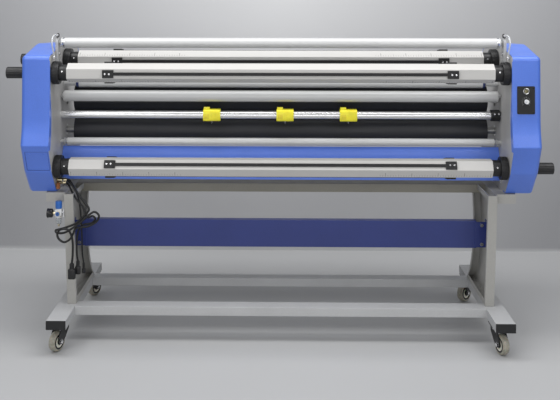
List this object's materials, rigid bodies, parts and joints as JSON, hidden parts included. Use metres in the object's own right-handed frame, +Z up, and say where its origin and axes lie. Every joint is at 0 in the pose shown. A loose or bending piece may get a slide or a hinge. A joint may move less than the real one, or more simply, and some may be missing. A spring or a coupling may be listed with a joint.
{
  "type": "cold roll laminator",
  "caption": "Free-standing wide cold roll laminator with pinch rollers, three core shafts, idlers, sliding cutters, blue side covers and a wheeled stand.",
  "frame": {"origin": "on the floor under the centre of the machine", "axes": "+X along the rollers to the control side, -Y to the output side, +Y to the operator, +Z up"},
  "size_m": [2.088, 0.7236, 1.197],
  "materials": {
    "cover_blue": "satin powder coat",
    "panel_blue": "satin powder coat",
    "stand_grey": "fine texture powder coat",
    "plate_grey": "fine texture powder coat",
    "shaft_aluminium": "clear anodised extrusion",
    "idler_aluminium": "turned and anodised",
    "bar_steel": "ground and plated",
    "core_steel": "turned steel",
    "roller_rubber": "ground silicone rubber",
    "grip_black": "moulded, fine knurl",
    "knob_black": "moulded",
    "cutter_yellow": "moulded, gloss",
    "caster_black": "black stove enamel",
    "caster_tyre": "translucent polyurethane",
    "machined_steel": "machined",
    "cylinder_aluminium": "anodised",
    "motor_grey": "enamel",
    "chain_steel": "oiled steel",
    "fitting_metal": "plated brass",
    "hose_white": "translucent tube",
    "cable_black": "flexible sheath",
    "panel_black": "fine texture",
    "stop_red": "moulded, gloss",
    "knob_pale": "moulded, gloss",
    "knob_blue": "moulded, ribbed",
    "bolt_steel": "zinc plated",
    "table_grey": "smooth powder coat"
  },
  "bodies": {
    "root": {"left_side_plate": "plate_grey", "right_side_plate": "plate_grey", "left_cover": "cover_blue", "right_cover": "cover_blue", "cover_hatch": "cover_blue", "rear_control_plate": "panel_black", "front_control_panel": "panel_black", "left_leg": "stand_grey", "right_leg": "stand_grey", "base_frame": "stand_grey", "main_beam": "plate_grey", "cross_panel": "panel_blue", "rear_panel": "panel_blue", "foot_end_caps": "knob_black", "caster_plates": "caster_black", "slitter_bar": "bar_steel", "idler_brackets": "stand_grey", "bearing_housings": "machined_steel", "lift_cylinders": "cylinder_aluminium", "gear_motor": "motor_grey", "drive_chain": "chain_steel", "filter_regulator": "fitting_metal", "air_hoses": "hose_white", "power_cables": "cable_black", "frame_bolts": "bolt_steel"},
    "lift": {"lift_carriage": "machined_steel"},
    "upper_roller": {"upper_roller_core": "core_steel", "upper_roller_sleeve": "roller_rubber"},
    "lower_roller": {"lower_roller_core": "core_steel", "lower_roller_sleeve": "roller_rubber"},
    "motor_drive": {"motor_sprocket": "machined_steel"},
    "supply_shaft": {"supply_shaft": "shaft_aluminium", "supply_shaft_grips": "grip_black"},
    "takeup_shaft": {"takeup_shaft": "shaft_aluminium", "takeup_shaft_grips": "grip_black"},
    "rewind_shaft": {"rewind_shaft": "shaft_aluminium", "rewind_shaft_grips": "grip_black"},
    "supply_brake": {"supply_brake_knob": "knob_black"},
    "takeup_brake": {"takeup_brake_knob": "knob_black"},
    "rewind_brake": {"rewind_brake_knob": "knob_black"},
    "top_idler": {"top_idler": "idler_aluminium"},
    "film_idler": {"film_idler": "idler_aluminium"},
    "guide_tube": {"guide_tube": "idler_aluminium"},
    "lower_idler": {"lower_idler": "bar_steel"},
    "left_cutter": {"left_cutter": "cutter_yellow"},
    "centre_cutter": {"centre_cutter": "cutter_yellow"},
    "right_cutter": {"right_cutter": "cutter_yellow"},
    "feed_table": {"feed_table": "table_grey"},
    "rear_knob": {"rear_knob": "knob_pale"},
    "stop_button": {"emergency_stop_button": "stop_red"},
    "speed_dial": {"speed_dial": "knob_black"},
    "regulator_knob": {"regulator_knob": "knob_blue"},
    "rear_left_fork": {"rear_left_caster_fork": "caster_black"},
    "rear_left_wheel": {"rear_left_caster_wheel": "caster_tyre"},
    "rear_right_fork": {"rear_right_caster_fork": "caster_black"},
    "rear_right_wheel": {"rear_right_caster_wheel": "caster_tyre"},
    "front_left_fork": {"front_left_caster_fork": "caster_black"},
    "front_left_wheel": {"front_left_caster_wheel": "caster_tyre"},
    "front_right_fork": {"front_right_caster_fork": "caster_black"},
    "front_right_wheel": {"front_right_caster_wheel": "caster_tyre"}
  },
  "joints": [
    {"name": "roller_lift", "type": "slide", "parent": "root", "child": "lift", "axis": [0, 0, 1], "range_m": [-0.0099, 0.012]},
    {"name": "upper_roller_spin", "type": "hinge", "parent": "lift", "child": "upper_roller", "pos_m": [0, 0, 0.924], "axis": [1, 0, 0], "continuous": true},
    {"name": "lower_roller_spin", "type": "hinge", "parent": "root", "child": "lower_roller", "pos_m": [0, 0, 0.794], "axis": [1, 0, 0], "continuous": true},
    {"name": "motor_spin", "type": "hinge", "parent": "root", "child": "motor_drive", "pos_m": [0, 0.02, 0.69], "axis": [1, 0, 0], "continuous": true},
    {"name": "supply_shaft_spin", "type": "hinge", "parent": "root", "child": "supply_shaft", "pos_m": [0, -0.049, 1.0835], "axis": [1, 0, 0], "continuous": true},
    {"name": "takeup_shaft_spin", "type": "hinge", "parent": "root", "child": "takeup_shaft", "pos_m": [0, -0.25, 1.05], "axis": [1, 0, 0], "continuous": true},
    {"name": "rewind_shaft_spin", "type": "hinge", "parent": "root", "child": "rewind_shaft", "pos_m": [0, -0.215, 0.6845], "axis": [1, 0, 0], "continuous": true},
    {"name": "supply_brake_turn", "type": "hinge", "parent": "root", "child": "supply_brake", "pos_m": [0, -0.049, 1.0835], "axis": [1, 0, 0], "range_deg": [-180, 180]},
    {"name": "takeup_brake_turn", "type": "hinge", "parent": "root", "child": "takeup_brake", "pos_m": [0, -0.25, 1.05], "axis": [1, 0, 0], "range_deg": [-180, 180]},
    {"name": "rewind_brake_turn", "type": "hinge", "parent": "root", "child": "rewind_brake", "pos_m": [0, -0.215, 0.6845], "axis": [1, 0, 0], "range_deg": [-180, 180]},
    {"name": "top_idler_spin", "type": "hinge", "parent": "root", "child": "top_idler", "pos_m": [0, -0.183, 1.16], "axis": [1, 0, 0], "continuous": true},
    {"name": "film_idler_spin", "type": "hinge", "parent": "root", "child": "film_idler", "pos_m": [0, -0.06, 0.991], "axis": [1, 0, 0], "continuous": true},
    {"name": "guide_tube_spin", "type": "hinge", "parent": "root", "child": "guide_tube", "pos_m": [0, -0.1, 0.943], "axis": [1, 0, 0], "continuous": true},
    {"name": "lower_idler_spin", "type": "hinge", "parent": "root", "child": "lower_idler", "pos_m": [0, -0.11, 0.764], "axis": [1, 0, 0], "continuous": true},
    {"name": "left_cutter_slide", "type": "slide", "parent": "root", "child": "left_cutter", "axis": [1, 0, 0], "range_m": [-0.5, 0.09]},
    {"name": "centre_cutter_slide", "type": "slide", "parent": "root", "child": "centre_cutter", "axis": [1, 0, 0], "range_m": [-0.09, 0.075]},
    {"name": "right_cutter_slide", "type": "slide", "parent": "root", "child": "right_cutter", "axis": [1, 0, 0], "range_m": [-0.075, 0.5]},
    {"name": "feed_table_hinge", "type": "hinge", "parent": "root", "child": "feed_table", "pos_m": [0, 0.3, 0.832], "axis": [1, 0, 0], "range_deg": [-100, 0]},
    {"name": "rear_knob_turn", "type": "hinge", "parent": "root", "child": "rear_knob", "pos_m": [0.918, -0.30209, 0.9518], "axis": [0, -0.9998, 0.0187], "range_deg": [-135, 135]},
    {"name": "stop_button_press", "type": "slide", "parent": "root", "child": "stop_button", "axis": [0, -0.879, -0.4768], "range_m": [0, 0.005]},
    {"name": "speed_dial_turn", "type": "hinge", "parent": "root", "child": "speed_dial", "pos_m": [0.922, 0.28927, 0.96708], "axis": [0, 0.879, 0.4768], "range_deg": [-135, 135]},
    {"name": "regulator_knob_turn", "type": "hinge", "parent": "root", "child": "regulator_knob", "pos_m": [-0.853, -0.217, 0.54], "axis": [0, 0, 1], "range_deg": [-170, 170]},
    {"name": "rear_left_swivel", "type": "hinge", "parent": "root", "child": "rear_left_fork", "pos_m": [-0.834, -0.256, 0.098], "axis": [0, 0, 1], "continuous": true},
    {"name": "rear_left_wheel_spin", "type": "hinge", "parent": "rear_left_fork", "child": "rear_left_wheel", "pos_m": [-0.84449, -0.28196, 0.0375], "axis": [0.9272, -0.3746, 0], "continuous": true},
    {"name": "rear_right_swivel", "type": "hinge", "parent": "root", "child": "rear_right_fork", "pos_m": [0.826, -0.256, 0.098], "axis": [0, 0, 1], "continuous": true},
    {"name": "rear_right_wheel_spin", "type": "hinge", "parent": "rear_right_fork", "child": "rear_right_wheel", "pos_m": [0.83372, -0.28292, 0.0375], "axis": [0.9613, 0.2756, 0], "continuous": true},
    {"name": "front_left_swivel", "type": "hinge", "parent": "root", "child": "front_left_fork", "pos_m": [-0.838, 0.31, 0.098], "axis": [0, 0, 1], "continuous": true},
    {"name": "front_left_wheel_spin", "type": "hinge", "parent": "front_left_fork", "child": "front_left_wheel", "pos_m": [-0.82617, 0.33538, 0.0375], "axis": [-0.9063, 0.4226, 0], "continuous": true},
    {"name": "front_right_swivel", "type": "hinge", "parent": "root", "child": "front_right_fork", "pos_m": [0.826, 0.31, 0.098], "axis": [0, 0, 1], "continuous": true},
    {"name": "front_right_wheel_spin", "type": "hinge", "parent": "front_right_fork", "child": "front_right_wheel", "pos_m": [0.80586, 0.29055, 0.0375], "axis": [0.6947, -0.7193, 0], "continuous": true}
  ],
  "couplings": [
    {"joint": "motor_spin", "follows": "lower_roller_spin", "ratio": 1.5714}
  ]
}
